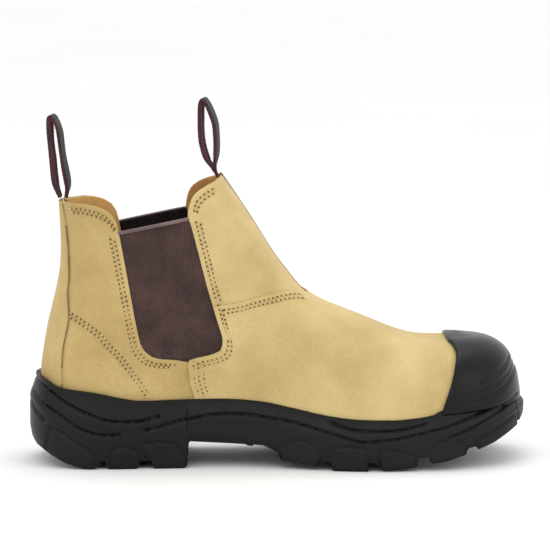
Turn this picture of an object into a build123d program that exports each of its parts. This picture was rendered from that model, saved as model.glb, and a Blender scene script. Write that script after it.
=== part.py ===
from build123d import *
import os
from math import sqrt, sin, cos, pi, hypot

# Slip-on elastic-sided work boot with a steel toe cap, right foot, millimetres.
# +X points to the toe, +Z up, -Y is the outer (lateral) side.
# Origin: middle of the footprint box, on the floor.

# ---------------------------------------------------------------- driving dimensions
LEN_HALF = 159.5          # half of the overall sole length
LEATHER = 2.0             # upper leather thickness
GAP = 0.35                # clearance between pieces that move against each other
SOLE_OVER = 5.6           # how far the sole edge stands proud of the upper
BUMPER_T = 2.8            # rubber thickness over the toe
HINGE_X, HINGE_Z = 19.6, 108.6     # instep point where the shaft front flexes
LOOP_W = 15.0             # webbing width
LOOP_T = 2.2              # webbing thickness
FOOTBED_HINGE_X = 100.0   # toe end of the footbed


# ---------------------------------------------------------------- helper curves
def pchip(tbl, t):
    n = len(tbl)
    if t <= tbl[0][0]:
        return tbl[0][1]
    if t >= tbl[-1][0]:
        return tbl[-1][1]
    d = [(tbl[i + 1][1] - tbl[i][1]) / (tbl[i + 1][0] - tbl[i][0]) for i in range(n - 1)]
    m = [d[0]] + [0.0 if d[i - 1] * d[i] <= 0 else 2 * d[i - 1] * d[i] / (d[i - 1] + d[i])
                  for i in range(1, n - 1)] + [d[-1]]
    for i in range(n - 1):
        if t <= tbl[i + 1][0]:
            h = tbl[i + 1][0] - tbl[i][0]
            s = (t - tbl[i][0]) / h
            return ((2 * s ** 3 - 3 * s ** 2 + 1) * tbl[i][1] + (s ** 3 - 2 * s ** 2 + s) * h * m[i]
                    + (-2 * s ** 3 + 3 * s ** 2) * tbl[i + 1][1] + (s ** 3 - s ** 2) * h * m[i + 1])


def smooth(a, b, t):
    t = max(0.0, min(1.0, (t - a) / (b - a)))
    return t * t * (3 - 2 * t)


def catmull(pts, n):
    out = []
    for i in range(len(pts) - 1):
        p0 = pts[max(i - 1, 0)]
        p1, p2 = pts[i], pts[i + 1]
        p3 = pts[min(i + 2, len(pts) - 1)]
        for k in range(n):
            t = k / n
            out.append(tuple(0.5 * (2 * p1[j] + (p2[j] - p0[j]) * t
                                    + (2 * p0[j] - 5 * p1[j] + 4 * p2[j] - p3[j]) * t * t
                                    + (3 * p1[j] - p0[j] - 3 * p2[j] + p3[j]) * t ** 3) for j in (0, 1)))
    out.append(tuple(pts[-1]))
    return out


# ridge of the upper in the middle plane: shaft front, instep, vamp (x, z)
RIDGE = [(-47, 207), (-34.5, 185), (-23, 168), (-12, 151), (-1.6, 134.3), (8, 121.5), (15, 112.8), (22, 106.4),
         (31, 101.6), (42, 97), (53, 92.4), (64, 87.6), (75, 83.2), (87, 79.8), (98, 78.4), (110, 78.2),
         (122, 78.8), (140, 79.6), (170, 80.5)]
RIDGE_D = catmull(RIDGE, 8)
# back of the upper: height -> x
BACK = [(-10, -151.0), (40, -151.0), (55.6, -151.5), (63.4, -151.1), (71.2, -149.8), (79, -148.5), (86.8, -147.2),
        (94.6, -145.3), (102.4, -143.3), (110.3, -141.4), (118, -139.6), (128, -138.5), (140, -138.1),
        (155, -138.6), (170, -139.4), (205, -141)]
# front of the toe: height -> x
TOE = [(-10, 150), (10, 153.0), (20, 154.2), (30, 155.0), (40, 154.6), (50, 153.4), (58, 151.5), (65, 148.6),
       (70, 145.2), (74, 140.5), (77, 134.5), (78.4, 129), (79.2, 123), (82, 110), (90, 98), (110, 92), (205, 92)]
# half width just above the sole: x -> half width
PLAN = [(-151, 36.5), (-110, 36.5), (-80, 35.4), (-55, 34.6), (-30, 35.2), (-5, 38.6), (20, 43.8), (42, 48.6),
        (62, 51.2), (82, 51.8), (105, 51.0), (130, 50.0), (160, 50.0)]
# half width of the shaft: height -> half width
SHAFT = [(60, 36.8), (90, 36.2), (115, 34.6), (135, 34.2), (160, 36.0), (185, 37.8), (205, 39.0)]
# plan shift towards the inner side: x -> y
SHIFT = [(-151, 0), (-50, 0), (0, -0.3), (35, -1.5), (70, -1.1), (100, 0.6), (130, 2.6), (155, 3.8)]
RR, RB_HI, RB_LO, RT = 45.0, 50.0, 38.0, 52.0


def g(t, p=2.2):
    if t <= 0:
        return 0.0
    if t >= 1:
        return 1.0
    return (1 - (1 - t) ** p) ** (1 / p)


def ridge_dist(x, z):
    best = 1e9
    for i in range(len(RIDGE_D) - 1):
        (x1, z1), (x2, z2) = RIDGE_D[i], RIDGE_D[i + 1]
        dx, dz = x2 - x1, z2 - z1
        t = max(0.0, min(1.0, ((x - x1) * dx + (z - z1) * dz) / (dx * dx + dz * dz)))
        ex, ez = x - x1 - t * dx, z - z1 - t * dz
        dd = hypot(ex, ez)
        if dd < best:
            best = dd
            side = 1 if dx * ez - dz * ex <= 0 else -1
    return best * side


def half_width(x, z, d=0.0):
    """Half width of the upper at side-view point (x, z), surface moved inward by d."""
    s = smooth(55, 115, z) * (1 - smooth(5, 60, x))
    wf = pchip(PLAN, x) * (1 - s) + pchip(SHAFT, z) * s - d
    rb = RB_LO + (RB_HI - RB_LO) * smooth(70, 125, z)
    gb = g((x - pchip(BACK, z) - d) / (rb - d), 2.25)
    gr = g((ridge_dist(x, z) - d) / (RR - d), 2.1 + 0.5 * smooth(70, 115, x))
    gt = g((pchip(TOE, z) - x - d) / (RT - d), 2.2)
    return max(wf, 1.0) * gb * gr * gt


# the section lines: front/top end A and back/bottom end B (x, z)
FAN = [((-43, 200), (-140.6, 190)), ((-34.5, 185), (-139.5, 172)), ((-23, 168), (-138.5, 153)),
       ((-12, 151), (-138.1, 138)), ((-1.6, 134.3), (-138.8, 124.5)), ((8, 121.5), (-140.9, 112.3)),
       ((15, 112.8), (-143.6, 101)), ((22, 106.4), (-146.6, 89)), ((31, 101.6), (-149.4, 73.5)),
       ((38, 98.8), (-151.45, 57)), ((44, 96.2), (-151, 38)), ((50, 93.7), (-147, 18)), ((56, 91.1), (-128, 4)),
       ((62, 88.5), (-98, -1)), ((68, 86.0), (-64, -3)), ((75, 83.2), (-30, -5)), ((82, 81.0), (4, -6)),
       ((90, 79.3), (36, -6)), ((98, 78.4), (62, -6)), ((108, 78.2), (85, -5)), ((118, 78.6), (104, -3)),
       ((127.5, 78.6), (119, 0)), ((136.5, 76.1), (131, 4)), ((143.5, 71.6), (140, 9)), ((148.6, 65), (146, 14)),
       ((151.8, 57), (149.6, 19)), ((153.6, 48.8), (152, 25))]


def lerp(a, b, t):
    return (a[0] + (b[0] - a[0]) * t, a[1] + (b[1] - a[1]) * t)


def one(shape):
    """The largest solid of a result, as a plain Solid."""
    s = sorted(shape.solids(), key=lambda q: -q.volume)
    return s[0]


def upper_body(d, half=13):
    """Closed solid bounded by the upper's outer surface moved inward by d."""
    a_in, b_in = [], []
    n = len(FAN)
    for i, (a, b) in enumerate(FAN):
        a0, a1 = FAN[max(i - 1, 0)][0], FAN[min(i + 1, n - 1)][0]
        b0, b1 = FAN[max(i - 1, 0)][1], FAN[min(i + 1, n - 1)][1]
        ta, tb = (a1[0] - a0[0], a1[1] - a0[1]), (b1[0] - b0[0], b1[1] - b0[1])
        la, lb = hypot(*ta), hypot(*tb)
        a_in.append((a[0] + d * ta[1] / la, a[1] - d * ta[0] / la))
        b_in.append((b[0] - d * tb[1] / lb, b[1] + d * tb[0] / lb))
    wires = []
    for i in range(n):
        a, b = a_in[i], b_in[i]
        length = hypot(a[0] - b[0], a[1] - b[1])
        lat, med = [], []
        for k in range(half + 1):
            th = pi * k / half
            t = (1 - cos(th)) / 2                 # 0 at A, 1 at B
            x, z = lerp(a, b, t)
            if k in (0, half):
                w = 0.0
            else:
                w = half_width(x, z, d)
                if i >= 11:
                    w *= g((1 - t) * length / min(12.0, 0.5 * length))
                w = max(w, 0.6 * sin(th))
            yc = pchip(SHIFT, x)
            lat.append((x, yc - w, z))
            if 0 < k < half:
                med.append((x, yc + w, z))
        wires.append(Wire([Edge.make_spline([Vector(*p) for p in lat + med[::-1]], periodic=True)]))
    spans = [Solid.make_loft(wires[i:j + 1]) for i, j in ((0, 12), (12, 19), (19, n - 1))]
    return one(spans[0].fuse(spans[1], spans[2]))


def prism(pts, y0=-80.0, y1=80.0):
    """XZ polygon swept across the boot from y0 to y1."""
    pl = Plane(origin=(0, y0, 0), x_dir=(1, 0, 0), z_dir=(0, -1, 0))
    face = Face(Wire.make_polygon([Vector(x, y0, z) for x, z in pts], close=True))
    return Solid.extrude(face, Vector(0, y1 - y0, 0))


# ---------------------------------------------------------------- side-view outlines (x, z)
CLIP = [(-165, 36), (-100, 33), (-50, 33), (-10, 29), (20, 21), (60, 18), (90, 19.5), (115, 25), (135, 31),
        (165, 39)]
FEATHER = [(-165, 56.5), (-151, 55.6), (-139, 50.6), (-118, 48.0), (-96, 43.4), (-88, 42.4), (-59.5, 43.0),
           (-36.7, 43.3), (-13.3, 42.0), (8, 38.2), (31.5, 33.7), (51.4, 31.8), (71, 31.6), (86.5, 32.8),
           (96, 34.4), (102.4, 37.2), (120, 37.6), (140, 38.6), (165, 40.5)]
SPLIT = [(-165, 28), (-120, 20.5), (-70, 20.5), (-50, 24), (-10, 21), (20, 13.2), (60, 11), (90, 13), (115, 19),
         (135, 26), (150, 32), (165, 37)]
SEAM = [(-41.7, 102.4), (-35.8, 103), (-26.6, 104.4), (-15.9, 107.1), (-4.9, 109.4), (2.9, 110.6), (11.1, 110.6),
        (17.6, 108.9), (20.4, 107.4)]
GUSSET_TOP = [(-101.4, 149.4), (-57.8, 158.2)]
GUSSET_FRONT = [(-55.6, 155.7), (-53.3, 146.6), (-49.9, 132.9), (-45.4, 114.4), (-41.7, 102.4)]
GUSSET_LOW = [(-38.7, 92), (-36, 82.9), (-35.6, 78.3), (-37.4, 73.8), (-41.9, 71.8), (-49, 69.9), (-56.6, 68.3)]
GUSSET_BACK = [(-65.6, 68.1), (-75.3, 68.7), (-80.5, 70.3), (-85, 73.8), (-87.6, 78.5), (-89.1, 84.5),
               (-91.7, 98), (-94.7, 114.3), (-97.7, 130), (-101.4, 149.4)]
OVERLAP = [(-57.7, 67.3), (-57.3, 61.4), (-56.5, 53), (-54.4, 47), (-53.6, 43), (-52.5, -20)]
TOP_BACK = [(-101.5, 150.5), (-102.8, 155.4), (-105.9, 160.4), (-110.8, 163.6), (-117, 165.7), (-124.5, 166.8),
            (-132, 166.6), (-138.5, 167.0), (-150, 167.4)]
TOP_FRONT = [(-56.9, 161.9), (-55.3, 168.4), (-52.7, 173), (-48.3, 176.6), (-42.9, 179.4), (-37.5, 181.6),
             (-34.3, 183.9), (-20, 192)]
STAY = [(200, -137.5), (167, -137.6), (152, -135.9), (137.6, -134.6), (120, -134.2), (110, -135.0), (94.6, -134.5),
        (86, -136.0), (75, -138.2), (63, -139.2), (50, -139.3), (-20, -139.3)]
BUMPER_REAR = [(107.6, 90), (107.8, 79), (111, 76.5), (112.2, 71), (110, 61), (107, 51), (103, 40), (102.4, 37.2)]


def offset_x(pts, dx, dz=0.0):
    return [(x + dx, z + dz) for x, z in pts]


# ---------------------------------------------------------------- layered bodies of the upper
cache = {}


def layer(d):
    if d not in cache:
        cache[d] = upper_body(d)
    return cache[d]


def shell(d0, d1):
    key = (d0, d1)
    if key not in cache:
        cache[key] = layer(d0) - layer(d1)
    return cache[key]


above_clip = prism([(x, z) for x, z in CLIP] + [(165, 260), (-165, 260)])
parts = {}

# outer leather shell, trimmed to the lasting line
skin = one(shell(0.0, LEATHER) & above_clip)

vamp_poly = (offset_x(SEAM, 0) + [(24, 125), (60, 125), (175, 125), (175, -30)] + OVERLAP[::-1][0:]
             + [(-56.6, 68.3)] + GUSSET_LOW[::-1][1:])
parts["vamp"] = skin & prism(vamp_poly)

fq_poly = (offset_x(SEAM[1:], 0, 0.5) + [(24, 112), (40, 140), (-10, 205)] + TOP_FRONT[:-1][::-1]
           + [(-57.2, 158.6)] + offset_x(GUSSET_FRONT[:-1], 0.4) + [(-41.6, 103.6)])
parts["front_quarter_lateral"] = skin & prism(fq_poly, -80, -0.15)
parts["front_quarter_medial"] = skin & prism(fq_poly, 0.15, 80)

bq_poly = (TOP_BACK[:-2] + [(x, z) for z, x in STAY if z < 200] + [(OVERLAP[-1][0], -20)] + OVERLAP[::-1][1:]
           + [(-56.6, 68.3)] + GUSSET_BACK)
parts["back_quarter_lateral"] = skin & prism(bq_poly, -80, 0)
parts["back_quarter_medial"] = skin & prism(bq_poly, 0, 80)
parts["backstay"] = skin & prism([(-170, 167.2)] + [(x, z) for z, x in STAY if z < 200] + [(-170, -20)])

elastic = skin
gusset_poly = GUSSET_TOP + GUSSET_FRONT + GUSSET_LOW + GUSSET_BACK[:-1]
parts["gusset_lateral"] = elastic & prism(gusset_poly, -80, 0)
parts["gusset_medial"] = elastic & prism(gusset_poly, 0, 80)

# stiffeners between leather and lining
cap_shell = one(shell(2.2, 3.8) & above_clip)
parts["steel_toe_cap"] = cap_shell & prism([(88, 140), (88, -30), (175, -30), (175, 140)])
parts["toe_cap_edge_guard"] = cap_shell & prism([(82, 140), (82, 40), (87.9, 40), (87.9, 140)])
parts["heel_counter"] = (cap_shell
                         & prism([(-170, 98), (-128, 98), (-104, 84), (-90, 62), (-80, 40), (-78, -30), (-170, -30)]))

# linings, with pockets for the stiffeners
lining_wall = one(shell(2.2, 4.8) & above_clip)
vamp_wall = lining_wall & prism(vamp_poly)
parts["vamp_lining"] = vamp_wall - (prism([(81.5, 150), (81.5, -40), (180, -40), (180, 150)]) - layer(4.0))
back_wall = lining_wall & prism(
    [(-170, 166.6)] + [(p[0], p[1] - 0.4) for p in TOP_BACK[:-1][::-1]] + GUSSET_BACK[::-1] + [(-56.8, 68.3)]
    + offset_x(OVERLAP, -0.2) + [(-170, -20)])
parts["back_lining"] = back_wall - (prism(
    [(-175, 98.6), (-127.6, 98.6), (-103.4, 84.4), (-89.4, 62), (-79.4, 40), (-77.4, -40), (-175, -40)]) - layer(4.0))
parts["front_lining"] = cap_shell & prism(fq_poly)

# ---------------------------------------------------------------- sole unit
def outline(over, n=44):
    pts = []
    xa, xb = -151.0 - over - 2.2, 155.0 + over - 1.1
    for side in (-1, 1):
        row = []
        for k in range(n + 1):
            t = (1 - cos(pi * k / n)) / 2
            x = xa + (xb - xa) * t
            w = (pchip(PLAN, x) + over) * g((x - xa) / 40.0, 2.3) * g((xb - x) / 56.0, 2.25)
            row.append((x, pchip(SHIFT, x) + side * w))
        pts.append(row)
    loop = pts[0] + pts[1][::-1][1:-1]
    return Face(Wire([Edge.make_spline([Vector(x, y, 0) for x, y in loop], periodic=True)]))


block = Solid.extrude(outline(SOLE_OVER), Vector(0, 0, 110))
mid_poly = SPLIT + FEATHER[::-1]
lasted = one(layer(-0.1) & above_clip)
parts["midsole"] = (block & prism(mid_poly)) - lasted

BOTTOM = [(-165, 28), (-159.6, 20), (-154, 13.5), (-145, 8.3), (-136, 3.8), (-126.5, 1.2), (-119, 0), (-116.7, 0),
          (-113.5, 5), (-110.2, 5), (-108.3, 0), (-90.3, 0), (-88, 5), (-81.4, 5), (-79.5, 0), (-60, 0),
          (-58.4, 2), (-58.2, 18), (-48.5, 19.2), (-47.3, 17.6), (-42.2, 17.6), (-41.2, 18.8), (-34.8, 18.3),
          (-34, 16.5), (-29.5, 16.3), (-28.8, 17.8), (-21.5, 17), (-20.8, 14.6), (-16.8, 14.2), (-16.2, 16),
          (-1.6, 12.6), (0.6, 5.4), (11, 4.2), (23.6, 1.9), (24.9, 6.4), (31.2, 6.0), (33, 0.0), (54.9, 0.0),
          (56, 5.6), (62.6, 5.6), (64.2, 0.6), (74, 1.4), (85.6, 2.6), (87, 8.4), (92.8, 8.8), (95.5, 4.4),
          (104, 5.6), (117.4, 9.6), (118.2, 13.2), (123.8, 14.4), (125.4, 12.2), (136.3, 15.9), (152, 23.6),
          (153, 26.4), (155, 26), (159, 30), (165, 37)]
tread = block & prism(BOTTOM + SPLIT[::-1])
for y0 in (-12.0,):
    tread = tread - prism([(-150, -5), (-150, 4.5), (-61, 4.5), (-61, -5)], y0 + 8, y0 + 16)
    tread = tread - prism([(0, -5), (0, 9.0), (24, 5.6), (56, 5.4), (88, 8), (118, 13), (122, 13), (122, -5)],
                          y0 + 8, y0 + 16)
parts["outsole"] = tread

bumper_poly = BUMPER_REAR + [(120, 37.6), (140, 38.6), (175, 41.2), (175, 90)]
parts["toe_bumper"] = shell(-BUMPER_T, -0.1) & prism(bumper_poly)

# ---------------------------------------------------------------- insole, shank, footbed
def raised(dz, x0=-165, x1=165):
    return [(x, pchip(CLIP, x) + dz) for x in [x0 + (x1 - x0) * i / 24 for i in range(25)]]


core = layer(5.0)
parts["insole_board"] = core & prism(raised(0.6) + raised(2.8)[::-1])
shank = [(x, pchip(CLIP, x) - 1.9) for x in (-100, -80, -60, -40, -20, 0)]
parts["steel_shank"] = prism(shank + [(x, z + 1.5) for x, z in shank[::-1]], -7.5, 7.5)
parts["midsole"] = parts["midsole"] - prism([(x, z - 0.1) for x, z in shank] + [(x, z + 6) for x, z in shank[::-1]],
                                            -7.7, 7.7)
bed = layer(6.6)
bed_lo, bed_hi, cov_hi = raised(3.1, -144, FOOTBED_HINGE_X + 40), raised(8.0, -144, FOOTBED_HINGE_X + 40), \
    raised(9.2, -144, FOOTBED_HINGE_X + 40)
foot = bed & prism(bed_lo + bed_hi[::-1])
heel_zone = prism([(-128, -5), (-128, 60), (-82, 60), (-82, -5)], -17, 17)
pad_under = prism(raised(3.1, -128, -82) + raised(5.6, -128, -82)[::-1], -17, 17)
parts["heel_pad"] = pad_under
parts["footbed"] = foot - prism(raised(2.0, -128.2, -81.8) + raised(5.7, -128.2, -81.8)[::-1], -17.2, 17.2)
parts["footbed_top_cover"] = bed & prism(bed_hi + cov_hi[::-1])


# ---------------------------------------------------------------- pull loops (webbing bent into a loop)
REAR_LOOP = [(-139.2, 168.6), (-141.6, 175), (-142.8, 182), (-144, 196), (-144.8, 205), (-145.4, 213),
             (-145.2, 219.5), (-143.2, 221.5), (-140.8, 220), (-138.2, 214.5), (-136.8, 209), (-136.2, 203),
             (-135.2, 194.5), (-133.6, 187), (-132.2, 179), (-132.0, 174.5), (-133.2, 168.6)]
REAR_HOLE = [(-142.6, 217.0), (-142.9, 208), (-142.0, 198), (-140.4, 189.0), (-138.6, 184.5), (-136.2, 185.0),
             (-136.9, 193), (-138.2, 203), (-139.2, 210.5), (-140.6, 216.0)]
FRONT_LOOP = [(-40.8, 184.8), (-42.4, 187.6), (-45.6, 192.5), (-47.8, 199.5), (-49.1, 206), (-49.5, 216.8),
              (-49.1, 228.5), (-46.5, 231.9), (-43.5, 228.9), (-40.5, 222.7), (-38.1, 215.7), (-37.4, 208.6),
              (-37.2, 199.5), (-37.8, 192.5), (-38.4, 188), (-38.2, 184.8)]
FRONT_HOLE = [(-46.3, 227), (-47.1, 216), (-46.6, 206), (-45.3, 199), (-43.4, 193.6), (-41.4, 190.2), (-40.0, 193),
              (-39.6, 200), (-39.8, 208), (-40.8, 215.5), (-42.8, 222), (-44.8, 226.6)]
parts["rear_pull_loop"] = prism(REAR_LOOP, -LOOP_W / 2, LOOP_W / 2) - prism(REAR_HOLE, -LOOP_W, LOOP_W)
parts["front_pull_loop"] = prism(FRONT_LOOP, -LOOP_W / 2, LOOP_W / 2) - prism(FRONT_HOLE, -LOOP_W, LOOP_W)

# ---------------------------------------------------------------- write
os.makedirs("parts", exist_ok=True)
for name, shape in parts.items():
    if shape is None:
        print(name, "EMPTY")
        continue
    keep = [s for s in shape.solids() if s.volume > 20.0]
    out = keep[0] if len(keep) == 1 else Compound(children=keep)
    out.label = name
    export_step(out, f"parts/{name}.step")
    bb = out.bounding_box()
    print(name, len(keep), round(out.volume, 1), [round(v, 1) for v in (bb.min.X, bb.min.Y, bb.min.Z, bb.max.X,
                                                                        bb.max.Y, bb.max.Z)])
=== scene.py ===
import bpy, math, random
import numpy as np
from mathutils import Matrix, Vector
from mathutils.geometry import delaunay_2d_cdt


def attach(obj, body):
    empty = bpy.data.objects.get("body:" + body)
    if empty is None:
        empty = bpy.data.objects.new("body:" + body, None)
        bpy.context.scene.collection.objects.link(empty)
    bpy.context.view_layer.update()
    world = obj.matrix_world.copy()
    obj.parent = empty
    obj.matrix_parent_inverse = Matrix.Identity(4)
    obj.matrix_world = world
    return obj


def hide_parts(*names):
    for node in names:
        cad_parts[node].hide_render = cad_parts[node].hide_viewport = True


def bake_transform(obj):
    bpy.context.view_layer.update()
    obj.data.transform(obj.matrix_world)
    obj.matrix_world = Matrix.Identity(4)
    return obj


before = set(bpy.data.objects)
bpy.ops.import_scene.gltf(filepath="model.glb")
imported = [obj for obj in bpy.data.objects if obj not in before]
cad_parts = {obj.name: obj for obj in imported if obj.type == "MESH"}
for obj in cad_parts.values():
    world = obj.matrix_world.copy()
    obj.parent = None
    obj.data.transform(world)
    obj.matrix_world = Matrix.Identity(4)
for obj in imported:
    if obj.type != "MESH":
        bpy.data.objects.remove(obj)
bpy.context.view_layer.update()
rng = np.random.RandomState(7)
RR, RB_HI, RB_LO, RT = 45.0, 50.0, 38.0, 52.0
RIDGE = [(-47, 207), (-34.5, 185), (-23, 168), (-12, 151), (-1.6, 134.3), (8, 121.5), (15, 112.8), (22, 106.4),
         (31, 101.6), (42, 97), (53, 92.4), (64, 87.6), (75, 83.2), (87, 79.8), (98, 78.4), (110, 78.2),
         (122, 78.8), (140, 79.6), (170, 80.5)]
BACK = [(-10, -151.0), (40, -151.0), (55.6, -151.5), (63.4, -151.1), (71.2, -149.8), (79, -148.5), (86.8, -147.2),
        (94.6, -145.3), (102.4, -143.3), (110.3, -141.4), (118, -139.6), (128, -138.5), (140, -138.1),
        (155, -138.6), (170, -139.4), (205, -141)]
TOE = [(-10, 150), (10, 153.0), (20, 154.2), (30, 155.0), (40, 154.6), (50, 153.4), (58, 151.5), (65, 148.6),
       (70, 145.2), (74, 140.5), (77, 134.5), (78.4, 129), (79.2, 123), (82, 110), (90, 98), (110, 92), (205, 92)]
PLAN = [(-151, 36.5), (-110, 36.5), (-80, 35.4), (-55, 34.6), (-30, 35.2), (-5, 38.6), (20, 43.8), (42, 48.6),
        (62, 51.2), (82, 51.8), (105, 51.0), (130, 50.0), (160, 50.0)]
SHAFT = [(60, 36.8), (90, 36.2), (115, 34.6), (135, 34.2), (160, 36.0), (185, 37.8), (205, 39.0)]
SHIFT = [(-151, 0), (-50, 0), (0, -0.3), (35, -1.5), (70, -1.1), (100, 0.6), (130, 2.6), (155, 3.8)]
FAN = [((-43, 200), (-140.6, 190)), ((-34.5, 185), (-139.5, 172)), ((-23, 168), (-138.5, 153)),
       ((-12, 151), (-138.1, 138)), ((-1.6, 134.3), (-138.8, 124.5)), ((8, 121.5), (-140.9, 112.3)),
       ((15, 112.8), (-143.6, 101)), ((22, 106.4), (-146.6, 89)), ((31, 101.6), (-149.4, 73.5)),
       ((38, 98.8), (-151.45, 57)), ((44, 96.2), (-151, 38)), ((50, 93.7), (-147, 18)), ((56, 91.1), (-128, 4)),
       ((62, 88.5), (-98, -1)), ((68, 86.0), (-64, -3)), ((75, 83.2), (-30, -5)), ((82, 81.0), (4, -6)),
       ((90, 79.3), (36, -6)), ((98, 78.4), (62, -6)), ((108, 78.2), (85, -5)), ((118, 78.6), (104, -3)),
       ((127.5, 78.6), (119, 0)), ((136.5, 76.1), (131, 4)), ((143.5, 71.6), (140, 9)), ((148.6, 65), (146, 14)),
       ((151.8, 57), (149.6, 19)), ((153.6, 48.8), (152, 25))]
FEATHER = [(-165, 56.5), (-151, 55.6), (-139, 50.6), (-118, 48.0), (-96, 43.4), (-88, 42.4), (-59.5, 43.0),
           (-36.7, 43.3), (-13.3, 42.0), (8, 38.2), (31.5, 33.7), (51.4, 31.8), (71, 31.6), (86.5, 32.8),
           (96, 34.4), (102.4, 37.2), (120, 37.6), (140, 38.6), (165, 40.5)]
SEAM = [(-41.7, 102.4), (-35.8, 103), (-26.6, 104.4), (-15.9, 107.1), (-4.9, 109.4), (2.9, 110.6), (11.1, 110.6),
        (17.6, 108.9), (20.4, 107.4)]
GUSSET_TOP = [(-101.4, 149.4), (-57.8, 158.2)]
GUSSET_FRONT = [(-55.6, 155.7), (-53.3, 146.6), (-49.9, 132.9), (-45.4, 114.4), (-41.7, 102.4)]
GUSSET_LOW = [(-38.7, 92), (-36, 82.9), (-35.6, 78.3), (-37.4, 73.8), (-41.9, 71.8), (-49, 69.9), (-56.6, 68.3)]
GUSSET_BACK = [(-65.6, 68.1), (-75.3, 68.7), (-80.5, 70.3), (-85, 73.8), (-87.6, 78.5), (-89.1, 84.5),
               (-91.7, 98), (-94.7, 114.3), (-97.7, 130), (-101.4, 149.4)]
OVERLAP = [(-57.7, 67.3), (-57.3, 61.4), (-56.5, 53), (-54.4, 47), (-53.6, 43), (-52.5, -20)]
TOP_BACK = [(-101.5, 150.5), (-102.8, 155.4), (-105.9, 160.4), (-110.8, 163.6), (-117, 165.7), (-124.5, 166.8),
            (-132, 166.6), (-138.5, 167.0), (-150, 167.4)]
TOP_FRONT = [(-56.9, 161.9), (-55.3, 168.4), (-52.7, 173), (-48.3, 176.6), (-42.9, 179.4), (-37.5, 181.6),
             (-34.3, 183.9), (-20, 192)]
STAY = [(200, -137.5), (167, -137.6), (152, -135.9), (137.6, -134.6), (120, -134.2), (110, -135.0), (94.6, -134.5),
        (86, -136.0), (75, -138.2), (63, -139.2), (50, -139.3), (-20, -139.3)]
BUMPER_REAR = [(107.6, 90), (107.8, 79), (111, 76.5), (112.2, 71), (110, 61), (107, 51), (103, 40), (102.4, 37.2)]
BOTTOM = [(-165, 28), (-159.6, 20), (-154, 13.5), (-145, 8.3), (-136, 3.8), (-126.5, 1.2), (-119, 0), (-116.7, 0),
          (-113.5, 5), (-110.2, 5), (-108.3, 0), (-90.3, 0), (-88, 5), (-81.4, 5), (-79.5, 0), (-60, 0),
          (-58.4, 2), (-58.2, 18), (-48.5, 19.2), (-47.3, 17.6), (-42.2, 17.6), (-41.2, 18.8), (-34.8, 18.3),
          (-34, 16.5), (-29.5, 16.3), (-28.8, 17.8), (-21.5, 17), (-20.8, 14.6), (-16.8, 14.2), (-16.2, 16),
          (-1.6, 12.6), (0.6, 5.4), (11, 4.2), (23.6, 1.9), (24.9, 6.4), (31.2, 6.0), (33, 0.0), (54.9, 0.0),
          (56, 5.6), (62.6, 5.6), (64.2, 0.6), (74, 1.4), (85.6, 2.6), (87, 8.4), (92.8, 8.8), (95.5, 4.4),
          (104, 5.6), (117.4, 9.6), (118.2, 13.2), (123.8, 14.4), (125.4, 12.2), (136.3, 15.9), (152, 23.6),
          (153, 26.4), (155, 26), (159, 30), (165, 37)]
REAR_LOOP = [(-139.2, 168.6), (-141.6, 175), (-142.8, 182), (-144, 196), (-144.8, 205), (-145.4, 213),
             (-145.2, 219.5), (-143.2, 221.5), (-140.8, 220), (-138.2, 214.5), (-136.8, 209), (-136.2, 203),
             (-135.2, 194.5), (-133.6, 187), (-132.2, 179), (-132.0, 174.5), (-133.2, 168.6)]
REAR_HOLE = [(-142.6, 217.0), (-142.9, 208), (-142.0, 198), (-140.4, 189.0), (-138.6, 184.5), (-136.2, 185.0),
             (-136.9, 193), (-138.2, 203), (-139.2, 210.5), (-140.6, 216.0)]
FRONT_LOOP = [(-40.8, 184.8), (-42.4, 187.6), (-45.6, 192.5), (-47.8, 199.5), (-49.1, 206), (-49.5, 216.8),
              (-49.1, 228.5), (-46.5, 231.9), (-43.5, 228.9), (-40.5, 222.7), (-38.1, 215.7), (-37.4, 208.6),
              (-37.2, 199.5), (-37.8, 192.5), (-38.4, 188), (-38.2, 184.8)]
FRONT_HOLE = [(-46.3, 227), (-47.1, 216), (-46.6, 206), (-45.3, 199), (-43.4, 193.6), (-41.4, 190.2), (-40.0, 193),
              (-39.6, 200), (-39.8, 208), (-40.8, 215.5), (-42.8, 222), (-44.8, 226.6)]


def catmull(pts, n):
    P = np.array(pts, float); out = []
    for i in range(len(P) - 1):
        p0, p1, p2, p3 = P[max(i - 1, 0)], P[i], P[i + 1], P[min(i + 2, len(P) - 1)]
        for t in np.arange(n) / n:
            out.append(0.5 * (2 * p1 + (p2 - p0) * t + (2 * p0 - 5 * p1 + 4 * p2 - p3) * t * t + (3 * p1 - p0 - 3 * p2 + p3) * t ** 3))
    out.append(P[-1]); return np.array(out)

def pchip(tbl, t):
    T = np.array(tbl, float); X, Y = T[:, 0], T[:, 1]; t = np.clip(np.asarray(t, float), X[0], X[-1])
    h = np.diff(X); d = np.diff(Y) / h; m = np.zeros(len(X)); m[0], m[-1] = d[0], d[-1]
    for i in range(1, len(X) - 1):
        m[i] = 0 if d[i - 1] * d[i] <= 0 else 2 * d[i - 1] * d[i] / (d[i - 1] + d[i])
    i = np.clip(np.searchsorted(X, t) - 1, 0, len(X) - 2); s = (t - X[i]) / h[i]
    return (2*s**3-3*s**2+1)*Y[i] + (s**3-2*s**2+s)*h[i]*m[i] + (-2*s**3+3*s**2)*Y[i+1] + (s**3-s**2)*h[i]*m[i+1]

def smooth(a, b, t):
    t = np.clip((t - a) / (b - a), 0, 1); return t * t * (3 - 2 * t)

def g(t, p=2.2):
    t = np.clip(t, 0, 1); return (1 - (1 - t) ** p) ** (1 / p)

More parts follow.
